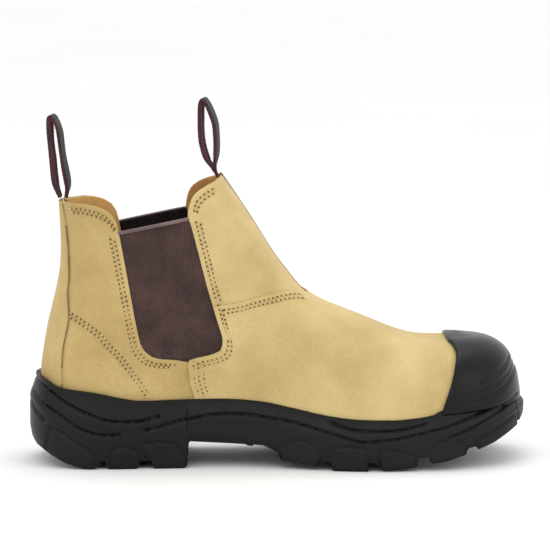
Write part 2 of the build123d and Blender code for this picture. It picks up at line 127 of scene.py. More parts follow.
RD = catmull(RIDGE, 6)
def pl_dist(x, z, line, signed=False):
    x, z = np.asarray(x, float), np.asarray(z, float); best = np.full(x.shape, 1e9); sd = np.ones(x.shape)
    for (x1, z1), (x2, z2) in zip(line[:-1], line[1:]):
        dx, dz = x2 - x1, z2 - z1
        t = np.clip(((x - x1) * dx + (z - z1) * dz) / (dx * dx + dz * dz + 1e-12), 0, 1)
        ex, ez = x - x1 - t * dx, z - z1 - t * dz; dd = np.hypot(ex, ez); k = dd < best
        best = np.where(k, dd, best); sd = np.where(k, np.where(dx * ez - dz * ex <= 0, 1, -1), sd)
    return best * sd if signed else best

def half_width(x, z, d=0.0):
    s = smooth(55, 115, z) * (1 - smooth(5, 60, x))
    wf = pchip(PLAN, x) * (1 - s) + pchip(SHAFT, z) * s - d
    rb = RB_LO + (RB_HI - RB_LO) * smooth(70, 125, z)
    return (wf * g((x - pchip(BACK, z) - d) / (rb - d), 2.25)
            * g((pl_dist(x, z, RD, True) - d) / (RR - d), 2.1 + 0.5 * smooth(70, 115, x))
            * g((pchip(TOE, z) - x - d) / (RT - d), 2.2))

FA = catmull([f[0] for f in FAN], 12); FB = catmull([f[1] for f in FAN], 12); FU = np.arange(len(FA)) / 12.0
def AB(u):
    return (np.stack([np.interp(u, FU, FA[:, 0]), np.interp(u, FU, FA[:, 1])], -1),
            np.stack([np.interp(u, FU, FB[:, 0]), np.interp(u, FU, FB[:, 1])], -1))

def inv(x, z):
    x, z = np.atleast_1d(np.asarray(x, float)), np.atleast_1d(np.asarray(z, float))
    lo, hi = np.zeros(x.shape), np.full(x.shape, FU[-1])
    for _ in range(26):
        mid = (lo + hi) / 2; A, B = AB(mid)
        c = (B[..., 0] - A[..., 0]) * (z - A[..., 1]) - (B[..., 1] - A[..., 1]) * (x - A[..., 0])
        hi = np.where(c < 0, mid, hi); lo = np.where(c < 0, lo, mid)
    A, B = AB(lo); D = B - A
    t = np.clip(((x - A[..., 0]) * D[..., 0] + (z - A[..., 1]) * D[..., 1]) / (D ** 2).sum(-1), 0, 1)
    return lo, np.arccos(1 - 2 * t)

def surf(u, th, d=0.0):
    A, B = AB(u); t = (1 - np.cos(np.abs(th))) / 2; P = A + (B - A) * t[..., None]
    tc = np.clip(np.abs(th), 0.17, math.pi - 0.17); Q = A + (B - A) * ((1 - np.cos(tc)) / 2)[..., None]
    w = half_width(Q[..., 0], Q[..., 1], 0.0) * np.sin(np.abs(th)) / np.sin(tc)
    return np.stack([P[..., 0], pchip(SHIFT, P[..., 0]) + np.sign(th) * w, P[..., 1]], -1)

def side_pt(x, z, side, lift=0.0):
    w = half_width(x, z) + lift
    return np.stack([x, pchip(SHIFT, x) + side * w, z], -1)

# ------------------------------------------------------------------ materials
def mat(name, c1, c2, rough, scale, bump, fine, sheen=0.0, spec=0.3, rib=None, sheen_col=None):
    m = bpy.data.materials.new(name); m.use_nodes = True; nt = m.node_tree; N = nt.nodes; Lk = nt.links
    b = N["Principled BSDF"]; tc = N.new("ShaderNodeTexCoord")
    n1 = N.new("ShaderNodeTexNoise"); n1.inputs["Scale"].default_value = scale; n1.inputs["Detail"].default_value = 6
    n2 = N.new("ShaderNodeTexNoise"); n2.inputs["Scale"].default_value = fine; n2.inputs["Detail"].default_value = 4
    r = N.new("ShaderNodeValToRGB"); r.color_ramp.elements[0].color = (*c1, 1); r.color_ramp.elements[1].color = (*c2, 1)
    r.color_ramp.elements[0].position = 0.34; r.color_ramp.elements[1].position = 0.66
    ad = N.new("ShaderNodeMath"); ad.operation = "MULTIPLY_ADD"; ad.inputs[1].default_value = 0.35
    for n in (n1, n2): Lk.new(tc.outputs["Object"], n.inputs["Vector"])
    su = N.new("ShaderNodeMath"); su.operation = "SUBTRACT"; su.inputs[1].default_value = 0.175
    Lk.new(n2.outputs["Fac"], ad.inputs[0]); Lk.new(n1.outputs["Fac"], ad.inputs[2]); Lk.new(ad.outputs[0], su.inputs[0])
    Lk.new(su.outputs[0], r.inputs["Fac"]); Lk.new(r.outputs["Color"], b.inputs["Base Color"])
    bp = N.new("ShaderNodeBump"); bp.inputs["Strength"].default_value = bump; bp.inputs["Distance"].default_value = 0.0006
    if rib:
        w = N.new("ShaderNodeTexWave"); w.inputs["Scale"].default_value = rib; w.bands_direction = "DIAGONAL"
        Lk.new(tc.outputs["Object"], w.inputs["Vector"]); mx = N.new("ShaderNodeMath"); mx.operation = "ADD"
        Lk.new(w.outputs["Fac"], mx.inputs[0]); Lk.new(n2.outputs["Fac"], mx.inputs[1]); Lk.new(mx.outputs[0], bp.inputs["Height"])
    else:
        Lk.new(n2.outputs["Fac"], bp.inputs["Height"])
    Lk.new(bp.outputs["Normal"], b.inputs["Normal"])
    rr = N.new("ShaderNodeMapRange"); rr.inputs[3].default_value = rough - 0.06; rr.inputs[4].default_value = min(1, rough + 0.06)
    Lk.new(n1.outputs["Fac"], rr.inputs[0]); Lk.new(rr.outputs[0], b.inputs["Roughness"])
    b.inputs["Specular IOR Level"].default_value = spec
    if sheen:
        b.inputs["Sheen Weight"].default_value = sheen; b.inputs["Sheen Roughness"].default_value = 0.5
        b.inputs["Sheen Tint"].default_value = (*(sheen_col or (1, 1, 1)), 1)
    return m

M = {
    "suede": mat("suede", (0.455, 0.335, 0.135), (0.60, 0.465, 0.215), 0.9, 22, 0.6, 900, 0.22, 0.15, sheen_col=(1, .9, .7)),
    # darker copy of the suede for the back quarters and backstay: painted shade over the rear of the boot
    "suede_painted_shade": mat("suede_painted_shade", (0.38, 0.265, 0.095), (0.54, 0.40, 0.17), 0.9, 22, 0.6, 900, 0.2, 0.15, sheen_col=(1, .9, .7)),
    "lining": mat("lining", (0.44, 0.225, 0.065), (0.64, 0.37, 0.125), 0.8, 30, 0.3, 700, 0.1, 0.2),
    "elastic": mat("elastic", (0.036, 0.016, 0.013), (0.078, 0.038, 0.031), 0.85, 60, 0.6, 1600, 0.3, 0.2, rib=500),
    # near-black copy of the elastic for its inner face: painted shade inside the shaft
    "elastic_in": mat("elastic_inside_painted_shade", (0.004, 0.003, 0.003), (0.012, 0.009, 0.009), 0.9, 60, 0.6, 1600, 0.1, 0.1, rib=500),
    "hem": mat("hem", (0.12, 0.07, 0.07), (0.19, 0.12, 0.12), 0.85, 80, 0.6, 1800, 0.3, 0.2),
    "sole": mat("sole_rubber", (0.0022, 0.0020, 0.0018), (0.0060, 0.0056, 0.0053), 0.46, 14, 0.25, 1100, 0, 0.22),
    "bumper": mat("bumper_rubber", (0.0020, 0.0017, 0.0016), (0.0050, 0.0046, 0.0046), 0.30, 16, 0.25, 1000, 0, 0.2),
    "thread": mat("thread", (0.50, 0.36, 0.14), (0.66, 0.50, 0.24), 0.7, 200, 0.5, 3000, 0.1, 0.3),
    # needle_hole_painted_shade: painted shade, dark brown standing in for the shade inside the needle holes
    "hole": mat("needle_hole_painted_shade", (0.10, 0.06, 0.02), (0.16, 0.10, 0.035), 0.95, 200, 0.2, 900),
    "seam": mat("seam_shadow", (0.20, 0.125, 0.05), (0.30, 0.20, 0.09), 0.95, 120, 0.3, 900),
    "web_out": mat("web_charcoal", (0.008, 0.007, 0.008), (0.026, 0.023, 0.025), 0.9, 90, 1.0, 1500, 0.2, 0.2, rib=420),
    "web_in": mat("web_red", (0.055, 0.002, 0.007), (0.12, 0.005, 0.017), 0.9, 90, 1.0, 1500, 0.2, 0.2, rib=420),
    "steel": mat("steel", (0.42, 0.42, 0.43), (0.60, 0.60, 0.61), 0.35, 40, 0.2, 900, 0, 0.5),
    "board": mat("fibre_board", (0.34, 0.26, 0.16), (0.50, 0.40, 0.27), 0.9, 60, 0.4, 800),
    "foam": mat("foam", (0.06, 0.06, 0.07), (0.11, 0.11, 0.12), 0.9, 90, 0.7, 1400),
    "knit": mat("cover_knit", (0.03, 0.03, 0.035), (0.07, 0.07, 0.08), 0.95, 60, 0.8, 1500, 0.2, 0.2, rib=450),
    "gel": mat("gel", (0.10, 0.09, 0.07), (0.17, 0.15, 0.12), 0.6, 50, 0.2, 500),
}
M["steel"].node_tree.nodes["Principled BSDF"].inputs["Metallic"].default_value = 1.0

def put(name, verts, faces, material, body=None, slot=None, smooth_=True):
    me = bpy.data.meshes.new(name); me.from_pydata((np.asarray(verts) / 1000.0).tolist(), [], faces); me.validate()
    o = bpy.data.objects.new(name, me); bpy.context.scene.collection.objects.link(o); me.materials.append(material)
    if smooth_: me.polygons.foreach_set("use_smooth", [True] * len(me.polygons))
    if body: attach(o, body)
    return o

def bake(o):
    dg = bpy.context.evaluated_depsgraph_get(); me = bpy.data.meshes.new_from_object(o.evaluated_get(dg))
    o.modifiers.clear(); o.data = me; return o

def resample(P, step, closed=False):
    P = np.asarray(P, float)
    if closed: P = np.vstack([P, P[:1]])
    s = np.r_[0, np.cumsum(np.hypot(*np.diff(P[:, :2], axis=0).T))]; n = max(2, int(round(s[-1] / step)))
    q = np.linspace(0, s[-1], n + 1); R = np.stack([np.interp(q, s, P[:, k]) for k in range(P.shape[1])], -1)
    return R[:-1] if closed else R

def inside(px, py, poly):
    c = np.zeros(px.shape, bool); n = len(poly)
    for i in range(n):
        x1, y1 = poly[i]; x2, y2 = poly[i - 1]
        k = ((y1 > py) != (y2 > py)) & (px < (x2 - x1) * (py - y1) / (y2 - y1 + 1e-12) + x1); c ^= k
    return c

KU, KT = 11.5, 36.0
def panel(name, poly, material, side=0, step=1.9, thick=1.7, depth=0.0, rows=(), center=0.0, body="boot", slot="suede", wob=0.22, flip=False):
    """Leather panel from its cut outline in fan coordinates; the side argument is not used."""
    P = resample(poly, step, True)
    lo, hi = P.min(0), P.max(0); gx, gy = np.meshgrid(np.arange(lo[0], hi[0], step), np.arange(lo[1], hi[1], step * 0.87))
    gx = gx + (np.arange(gx.shape[0]) % 2)[:, None] * step / 2; gx, gy = gx.ravel(), gy.ravel()
    k = inside(gx, gy, P) & (pl_dist(gx, gy, np.vstack([P, P[:1]])) > step * 0.55); Q = np.stack([gx[k], gy[k]], -1)
    n = len(P); V = [Vector(p) for p in np.vstack([P, Q])]
    r = delaunay_2d_cdt(V, [], [list(range(n))], 1, 1e-4)
    D = np.array([[v[0], v[1]] for v in r[0]]); u, th = D[:, 0] / KU, D[:, 1] / KT + center
    S = surf(u, th) if center == 0 else surf(u, np.where(th > math.pi, th - 2 * math.pi, th))
    faces = [list(f) for f in r[2]]
    o = put(name, S, faces, material, body, slot)
    me = o.data; nv = len(me.vertices); N = np.zeros(nv * 3); me.vertices.foreach_get("normal", N); N = N.reshape(-1, 3)
    C = np.array([-40.0 if c < 20 else c for c in S[:, 0]]); out = np.sign((N * (S - np.stack([np.clip(S[:, 0], -90, 100), S[:, 1] * 0, np.clip(S[:, 2], 30, 60 + 0 * S[:, 2])], -1))).sum(-1).mean())
    if out < 0: me.flip_normals(); N = -N
    edge = pl_dist(D[:, 0], D[:, 1], np.vstack([P, P[:1]])); h = -depth + wob * (np.sin(S[:, 0] * .11 + S[:, 2] * .17 + 2 * np.sin(S[:, 2] * .06)) * np.sin(S[:, 2] * .13 - S[:, 0] * .05)) * np.clip(edge / 8, 0, 1)
    for row in rows: h = h - 0.42 * np.exp(-(pl_dist(S[:, 0], S[:, 2], row) / 1.3) ** 2)
    S = S + N * h[:, None]; me.vertices.foreach_set("co", (S / 1000).ravel()); me.update()
    so = o.modifiers.new("s", "SOLIDIFY"); so.thickness = thick / 1000; so.offset = -1 if not flip else 1
    bv = o.modifiers.new("b", "BEVEL"); bv.width = 0.00045; bv.segments = 2; bv.limit_method = "ANGLE"; bv.angle_limit = 0.9
    bake(o); o.data.polygons.foreach_set("use_smooth", [True] * len(o.data.polygons)); return o

def dom(pts, side, center=0.0):
    p = resample(np.array(pts, float), 2.0); u, th = inv(p[:, 0], p[:, 1])
    if center: th = np.where(side < 0, -th + 2 * math.pi, th) - center
    else: th = side * th
    return np.stack([u * KU, th * KT], -1)

# ------------------------------------------------------------------ leather panels
foot = [(x, z - 6.0) for x, z in FEATHER]
seam_end = [(20.0, 108.0)]
brear = [(x + 5, z) for x, z in BUMPER_REAR][1:]
vl = seam_end + SEAM[::-1] + GUSSET_LOW + OVERLAP[:5] + [(-53.3, 37)] + [p for p in foot if -50 < p[0] < 102] + brear[::-1]
vamp_d = dom(vl, -1); vamp_m = dom(vl, 1)
GROW = [(-41.7 + 3.2, 103.2), (-35.7, 92.5), (-32.9, 83.2), (-32.4, 78), (-34.6, 71.6), (-40.6, 68.9), (-48, 67.0), (-54, 65.6)]
GROW2 = [(x + 2.4, z - 1.8) for x, z in GROW]
off = lambda L, dx, dz: [(x + dx, z + dz) for x, z in L]
ROW_S1, ROW_S2 = off(SEAM[1:-1], 1.2, -2.6), off(SEAM[1:-1], 2.0, -4.8)
V1, V2, V3 = off(OVERLAP[:5], 3.2, 0), off(OVERLAP[:5], 6.2, 0), off(OVERLAP[:5], 9.4, 0)
vrows = [GROW, GROW2, ROW_S1, ROW_S2, V1, V2, V3]
panel("vamp_leather", np.vstack([vamp_d, vamp_m[::-1]]), M["suede"], rows=vrows, thick=1.9)
bql = ([(-103.0, 155.4)] + TOP_BACK[2:-1] + [(x, z) for z, x in STAY if 36 < z < 168] + [p for p in foot if -140 < p[0] < -55]
       + [(-51.0, 37), (-51, 60), (-53, 66)] + GUSSET_BACK)
BG = off(GUSSET_BACK, -3.0, 0)[3:]; BG = [(-66, 65.2), (-76, 65.8), (-82.6, 68), (-87.6, 72.4)] + BG[1:]
BG2 = [(x - 2.7, z - (1.6 if z < 80 else 0)) for x, z in BG]
CTR = [(-137.3, 102.4), (-132.6, 98.3), (-125.8, 94.6), (-119, 90.2), (-112.1, 84.9), (-106.3, 78), (-100.6, 72.3), (-95.4, 65.4), (-90.9, 59.2), (-86.9, 53.7), (-83.5, 48.5), (-80.6, 44.4)]
CTR2 = off(CTR, -2.0, -1.8)
TB, TF = off(TOP_BACK[1:-1], -0.5, -3.2), [(-53.5, 163), (-52.2, 167.6), (-49.6, 171), (-45.8, 173.6), (-40.6, 176.2), (-36, 178.2)]
brows = [BG, BG2, CTR, CTR2, TB, off(TB, 0, -2.4)]
fql = (SEAM[:-1] + [(20.4, 107.4), (8, 121.5), (-1.6, 134.3), (-12, 151), (-23, 168), (-34.3, 184.2)] + TOP_FRONT[:-2][::-1] + [(-57.2, 158.6)]
       + GUSSET_FRONT)
fql = [(x, z - (2.0 if i < len(SEAM) - 2 else 0)) for i, (x, z) in enumerate(fql)]
FG = off(GUSSET_FRONT, 3.2, 0); FG2 = off(GUSSET_FRONT, 5.9, 0)
frows = [FG, FG2, TF, off(TF, 1.6, -2.2)]
front = []
for s, nm in ((-1, "lateral"), (1, "medial")):
    # back quarters in the darkened suede copy: painted shade
    panel("back_quarter_leather_" + nm, dom(bql + bql[:1], s)[:-1], M["suede_painted_shade"], rows=brows, depth=1.3, thick=1.5)
    front.append(panel("front_quarter_leather_" + nm, dom(fql + fql[:1], s)[:-1], M["suede"], rows=frows, depth=1.5, thick=1.4, body=None))
    panel("back_lining_skin_" + nm, dom([(x, min(z, 166)) for x, z in bql] + bql[:1], s)[:-1], M["lining"], depth=3.0, thick=0.9, slot="lining", step=2.6)
    front.append(panel("front_lining_skin_" + nm, dom(fql + fql[:1], s)[:-1], M["lining"], body=None, depth=3.1, thick=0.9, slot="lining", step=2.6))
st = [(-138.0, 167.0)] + [(x + 1.2, z) for z, x in STAY if 36 < z < 167] + [(-150.8, 46)]
sa, sb = inv(np.array([p[0] for p in resample(st, 2.0)]), np.array([p[1] for p in resample(st, 2.0)]))
D1 = np.stack([sa * KU, (sb - math.pi) * KT], -1); D2 = D1 * [1, -1]
# backstay in the darkened suede copy: painted shade
panel("backstay_leather", np.vstack([D1, D2[::-1]]), M["suede_painted_shade"], center=math.pi, rows=[], thick=1.6, depth=0.0, wob=0.05)
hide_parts("vamp", "vamp_lining"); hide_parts("backstay")
for nm in ("lateral", "medial"):
    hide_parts("back_quarter_" + nm)
    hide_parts("front_quarter_" + nm)
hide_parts("back_lining"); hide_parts("front_lining")

# ------------------------------------------------------------------ elastic gussets
def gusset(s, nm):
    zr = np.linspace(63, 157.5, 74); bk = catmull(GUSSET_BACK[::-1], 4); ft = catmull(GUSSET_FRONT, 4)
    bx = np.interp(zr, bk[::-1][:, 1], bk[::-1][:, 0]) - 4; fx = np.interp(zr, ft[::-1][:, 1], ft[::-1][:, 0]) + 4
    fx = np.maximum(np.interp(zr, [63, 74, 80, 92, 102.4, 110], [-40, -31.5, -31, -33.5, -37.2, -39.6]), fx - 200 * (zr < 112)); n = 230; a = np.linspace(0, 1, n)
    X = bx[:, None] + (fx - bx)[:, None] * a; top = np.interp(X, [-101.4, -57.8], [149.4, 158.2]); f = ((zr - 63) / (157.5 - 63))[:, None]
    Z = 63 + (top - 63) * f; rib = 0.28 * np.cos(a * 34 * 2 * math.pi)[None, :] + 0.05 * np.cos(f * 300)
    bulge = 1.1 * np.sin(math.pi * a)[None, :] * np.sin(math.pi * np.clip(f, 0.05, 1) * 0.8)
    W = half_width(X, Z) - 2.9 + rib + bulge; lay = []
    for dd in (0, -0.9): lay.append(np.stack([X, pchip(SHIFT, X) + s * (W + dd), Z], -1).reshape(-1, 3))
    m = len(zr); idx = np.arange(m * n).reshape(m, n); F = []
    q = np.stack([idx[:-1, :-1], idx[:-1, 1:], idx[1:, 1:], idx[1:, :-1]], -1).reshape(-1, 4); k = m * n
    F += (q if s < 0 else q[:, ::-1]).tolist() + ((q[:, ::-1] if s < 0 else q) + k).tolist()
    ring = np.r_[idx[0], idx[1:, -1], idx[-1, ::-1][1:], idx[::-1, 0][1:-1]]
    for i in range(len(ring)):
        e = [ring[i - 1], ring[i - 1] + k, ring[i] + k, ring[i]]; F.append([int(v) for v in (e if s < 0 else e[::-1])])
    o = put("gusset_elastic_" + nm, np.vstack(lay), F, M["elastic"], None, "elastic"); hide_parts("gusset_" + nm)
    # inner face of the elastic gets the darkened copy: painted shade
    o.data.materials.append(M["elastic_in"]); nq = len(q); mi = np.zeros(len(o.data.polygons), np.int32); mi[nq:2 * nq] = 1; o.data.polygons.foreach_set("material_index", mi)
    x = np.linspace(-101.2, -57.2, 90); z = np.interp(x, [-101.4, -57.8], [149.0, 157.8])
    hem = tube(side_pt(x, z, s, -1.9 + 0.5 * np.sin(np.linspace(0, math.pi, 90))), 1.15); h = put("gusset_hem_" + nm, hem[0], hem[1], M["hem"], None, "elastic")
    return o, h

def tube(P, r, ns=10):
    P = np.asarray(P, float); T = np.gradient(P, axis=0); T /= np.linalg.norm(T, axis=1)[:, None]; V, F = [], []
    up = np.array([0, 0, 1.0]) if abs(T[0][2]) < 0.8 else np.array([1.0, 0, 0])
    for p, t in zip(P, T):
        a = np.cross(t, up); a /= np.linalg.norm(a); b = np.cross(t, a)
        V += [p + r * (math.cos(k) * a + math.sin(k) * b) for k in np.arange(ns) * 2 * math.pi / ns]
    for i in range(len(P) - 1):
        for k in range(ns): F.append([i * ns + k, i * ns + (k + 1) % ns, (i + 1) * ns + (k + 1) % ns, (i + 1) * ns + k])
    F += [list(range(ns))[::-1], [len(V) - ns + k for k in range(ns)]]; return V, F

gus = [gusset(s, nm) for s, nm in ((-1, "lateral"), (1, "medial"))]

# ------------------------------------------------------------------ stitching
def stitches(name, rows, body, lift=0.0, pitch=2.9):
    V, F, HV, HF = [], [], [], []
    for ri, row in enumerate(rows):
        R = resample(catmull(row, 6), pitch); R = R + (np.roll(R, -1, 0) - R) * (0.5 if ri % 2 else 0); R = R[:-1]
        for s in (-1, 1):
            Pt = side_pt(R[:, 0], R[:, 1], s, lift)
            for a, b in zip(Pt[:-1], Pt[1:]):
                if np.linalg.norm(b - a) > 4.5: continue
                c = (a + b) / 2; t = b - a; L = np.linalg.norm(t); t = t / L; nrm = np.array([0, s, 0.0]); w = np.cross(t, nrm); w /= np.linalg.norm(w); k0 = len(V)
                for q, rr in ((-.36, .12), (-.28, .32), (0, .36), (.28, .32), (.36, .12)):
                    for j in range(6):
                        an = j * math.pi / 3; V.append(c + t * q * L + rr * (math.cos(an) * w + math.sin(an) * nrm) + nrm * (0.05 - abs(q) * 0.7))
                for i in range(4):
                    for j in range(6): F.append([k0 + i * 6 + j, k0 + i * 6 + (j + 1) % 6, k0 + (i + 1) * 6 + (j + 1) % 6, k0 + (i + 1) * 6 + j])
                F += [[k0 + j for j in range(6)][::-1], [k0 + 24 + j for j in range(6)]]
                # dark double cone at each needle entry: painted shade of the needle hole
                h0 = len(HV)
                for j in range(7): an = j * 2 * math.pi / 7; HV.append(a + 0.78 * (math.cos(an) * t + math.sin(an) * w) - nrm * 0.35)
                HV += [a + nrm * 0.10, a - nrm * 0.8]
                for j in range(7): HF += [[h0 + j, h0 + (j + 1) % 7, h0 + 7], [h0 + (j + 1) % 7, h0 + j, h0 + 8]]
    return [put(name + "_thread", V, F, M["thread"], body, "suede"), put(name + "_holes", HV, HF, M["hole"], body, "suede", False)]

stitches("stitch_vamp", vrows, "boot", -0.05)
stitches("stitch_back", brows, "boot", -1.25)
front += stitches("stitch_front", frows, None, -1.45)

# ------------------------------------------------------------------ sole unit
NT = 430
tau = (1 - np.cos(np.pi * np.linspace(0.004, 0.996, NT))) / 2
def ol(over, t=tau):
    xa, xb = -151.0 - over - 2.2, 155.0 + over - 1.1; x = xa + (xb - xa) * t
    return x, (pchip(PLAN, x) + over) * g((x - xa) / 40.0, 2.3) * g((xb - x) / 56.0, 2.25)
GRO = [np.array(L) for L in (
    [(-154.38, 53.69), (-144.62, 47.84), (-136.83, 42.32), (-128.38, 38.09), (-120.58, 34.84), (-112.39, 31.59), (-104.33, 30.29), (-93.47, 29.97), (-85.48, 30.94), (-76.38, 33.15)],
    [(-155.68, 45.57), (-150.09, 40.69), (-142.03, 35.88), (-133.9, 30.49), (-128.38, 26.72), (-120.58, 23.47), (-112.39, 21.84), (-101.73, 21.84)],
    [(-157.62, 39.65), (-154.38, 34.84), (-149.18, 29.97)],
    [(-86.78, 24.44), (-77.03, 26.39), (-65.33, 29.84), (-53.89, 32.24), (-42.25, 34.19), (-30.61, 34.58), (-19.18, 34.19), (-7.48, 32.44), (8.12, 29.84), (21.52, 26.39), (31.53, 23.47), (41.27, 21), (51.35, 18.59), (66.62, 19.7), (79.62, 21.65), (106.28, 27.69), (119.67, 32.24), (139.43, 40.04), (152.88, 47.19)],
    [(31.98, 30.42), (41.27, 27.04), (51.35, 25.48), (66.3, 25.22), (79.62, 26.39), (92.62, 29.64)],
    [(106.28, 20.35), (116.35, 24.31), (126.3, 28.34), (139.56, 34.19), (149.57, 40.24), (157.62, 47.19)])]
ARCH = [np.array(L) for L in (
    [(-147.88, 11.44), (-144.17, 26.2), (-138.25, 22.49), (-130.72, 17.55), (-123.17, 12.74), (-118.3, 8.84), (-117.13, -0.91), (-141.38, -0.91)],
    [(-108.55, -0.91), (-107.77, 7.28), (-106.47, 10.53), (-102.64, 12.94), (-98.35, 13.78), (-93.54, 12.09), (-90.29, 9.49), (-88.08, -0.91)],
    [(-80.92, -0.91), (-86.78, 9.49), (-87.55, 15.34), (-82.88, 15.99), (-74.16, 16.19), (-66.62, 15.02), (-63.7, 12.09), (-60.52, 4.94), (-58.83, -0.91)],
    [(0.65, -0.91), (0.65, 12.09), (7.48, 17.03), (12.55, 18.27), (17.03, 16.64), (21.52, 14.04), (23.53, 10.53), (24.38, -0.91)],
    [(31.53, -0.91), (33.48, 12.55), (36.47, 14.24), (43.88, 15.02), (51.35, 14.04), (54.27, 12.55), (56.23, -0.91)],
    [(62.73, -0.91), (62.73, 13), (66.62, 13.39), (76.38, 11.7), (83.2, 10.4), (86.78, -0.91)],
    [(93.92, -0.91), (95.88, 13.72), (99.12, 17.29), (108.88, 18.59), (116.67, 16.64), (118.62, -0.91)],
    [(124.48, 4.29), (124.48, 17.29), (136.18, 23.14), (152.43, 31.59), (155.03, 17.29)])]
def relief(x, z):
    d = np.zeros(x.shape)
    for L in GRO: d -= 1.7 * np.exp(-(pl_dist(x, z, catmull(L, 4)) / 0.95) ** 2)
    for L in ARCH:
        e = pl_dist(x, z, np.vstack([L, L[:1]])); d += np.where(inside(x, z, L), 1.5 * smooth(0, 1.8, e) - 0.9, -0.9 * np.exp(-(e / 1.5) ** 2))
    return d
top = lambda x: pchip(FEATHER, x) + 0.2
botl = np.array([b for b in BOTTOM]); zb = lambda x: np.interp(x, botl[:, 0], botl[:, 1])
BASE = [(-160, 22), (-150, 13), (-138, 9), (-119, 6.5), (-62, 6.5), (-57, 17), (-10, 14.5), (3, 8), (25, 6.6), (62, 6), (90, 9), (121, 14.6), (140, 20), (155, 28), (160, 32)]
NR, NB = 58, 76
def column(side):
    rows = []
    for k in range(NR):
        r = k / (NR - 1); ov0 = 1.4 + 4.0 * smooth(0, 0.42, r) - 0.9 * smooth(0.86, 1.0, r); x, w = ol(ov0)
        z = top(x) + (zb(x) - top(x)) * r; dlt = relief(x, z) if 0.03 < r < 0.97 else 0; x, w = ol(np.clip(ov0 + dlt, -1.0, 5.5))
        rows.append(np.stack([x, pchip(SHIFT, x) + side * w, z], -1))
    return rows
Ls, Rs = column(-1), column(1)
x, w = ol(4.4); bot = []
for k in range(1, NB):
    e = -1 + 2 * k / NB; ae = abs(e); y = w * e; bz, lz = np.interp(x, *np.array(BASE).T), zb(x)
    lug_env = np.interp(x, [-160, -137, -119, -60, -57, 0, 24, 33, 74, 95, 117, 136, 152, 160], [26, 4.4, 0, 0, 16, 12, 2.2, 0, 1.0, 4.0, 9.4, 15.9, 23.6, 30])
    edge = smooth(0.50, 0.54, ae + 0.05 * np.sin(x * 0.22)); ch = (np.sin((x + 9 * ae * 2) * 2 * math.pi / 15.5) > -0.15) & (ae < 0.40 + 0.04 * np.sin(x * .3)) & (ae > 0.05)
    on = ch & ((x < -62) | (x > 4)); rib = (x > -56) & (x < -4) & (np.abs(((x + 56) % 17.5) - 6) < 2.4)
    z = np.where(on, lug_env + 0.5, bz); z = np.where(rib & (ae < .8), bz - 1.5, z); z = edge * np.minimum(lz, bz) + (1 - edge) * z
    bot.append(np.stack([x, pchip(SHIFT, x) + y, np.minimum(z, top(x) - 6)], -1))
def rim(ov, dz, side):
    x, w = ol(ov); return np.stack([x, pchip(SHIFT, x) + side * w, top(x) + dz], -1)
strip = [rim(-3.2, -9, -1), rim(-1.6, -0.2, -1), rim(0.3, 0.3, -1)] + Ls + bot + Rs[::-1] + [rim(0.3, 0.3, 1), rim(-1.6, -0.2, 1), rim(-3.2, -9, 1)]
G = np.stack(strip, 1); nr = G.shape[1]; ii = np.arange(NT * nr).reshape(NT, nr); nx = np.roll(ii, -1, 1)
F = np.stack([ii[:-1], ii[1:], nx[1:], nx[:-1]], -1).reshape(-1, 4).tolist() + [ii[0].tolist(), ii[-1][::-1].tolist()]
sole = put("sole_unit", G.reshape(-1, 3), F, M["sole"], "boot", "sole_rubber"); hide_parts("outsole", "midsole")
sole.data.shade_smooth() if hasattr(sole.data, "shade_smooth") else None
sole.data.set_sharp_from_angle(angle=0.9)

# ------------------------------------------------------------------ toe bumper
C0 = np.array([98.0, 1.5, 30.0])
def ray(beta, al, d):
    D = np.stack([np.sin(beta) * np.cos(al), np.sin(beta) * np.sin(al), np.cos(beta)], -1); lo, hi = np.zeros(beta.shape), np.full(beta.shape, 90.0)
    for _ in range(22):
        m = (lo + hi) / 2; P = C0 + D * m[..., None]; xx, zz = P[..., 0], P[..., 2]
        ok = (half_width(xx, zz, d) > np.abs(P[..., 1] - pchip(SHIFT, xx))) & (pl_dist(xx, zz, RD, True) > d) & (pchip(TOE, zz) + 0 > xx + d)
        lo, hi = np.where(ok, m, lo), np.where(ok, hi, m)
    return C0 + D * lo[..., None], D
def edom(x, z, s):
    y = pchip(SHIFT, x) + s * half_width(x, z, -2.4); v = np.stack([x, y, z], -1) - C0; b = np.arccos(v[..., 2] / np.linalg.norm(v, axis=-1)); a = np.arctan2(v[..., 1], v[..., 0])
    return np.stack([b * np.cos(a), b * np.sin(a)], -1) * 52
br = resample(catmull([(107.6, 81.0), (107.9, 79), (111, 76), (112.2, 71), (110, 61), (107, 51), (103, 40), (102, 34.5)], 5), 1.2)
lowx = 102 + 56.3 * np.sin(np.linspace(0, math.pi / 2, 60)); lowz = 34.5 + (lowx - 102) * 0.07
half = lambda s: np.vstack([edom(br[:, 0], br[:, 1], s), edom(lowx, lowz, s)])
poly = resample(np.vstack([half(-1), half(1)[::-1]]), 0.9, True); lo_, hi_ = poly.min(0), poly.max(0)
gx, gy = [a.ravel() for a in np.meshgrid(np.arange(lo_[0], hi_[0], 0.8), np.arange(lo_[1], hi_[1], 0.8))]; gx = gx + rng.uniform(-.1, .1, gx.shape)
kk = inside(gx, gy, poly) & (pl_dist(gx, gy, np.vstack([poly, poly[:1]])) > 0.7)
r = delaunay_2d_cdt([Vector(p) for p in np.vstack([poly, np.stack([gx[kk], gy[kk]], -1)])], [], [list(range(len(poly)))], 1, 1e-4)
D = np.array([[v[0], v[1]] for v in r[0]]) / 52; be, al = np.hypot(D[:, 0], D[:, 1]), np.arctan2(D[:, 1], D[:, 0]); P, dr = ray(be, al, -2.7)
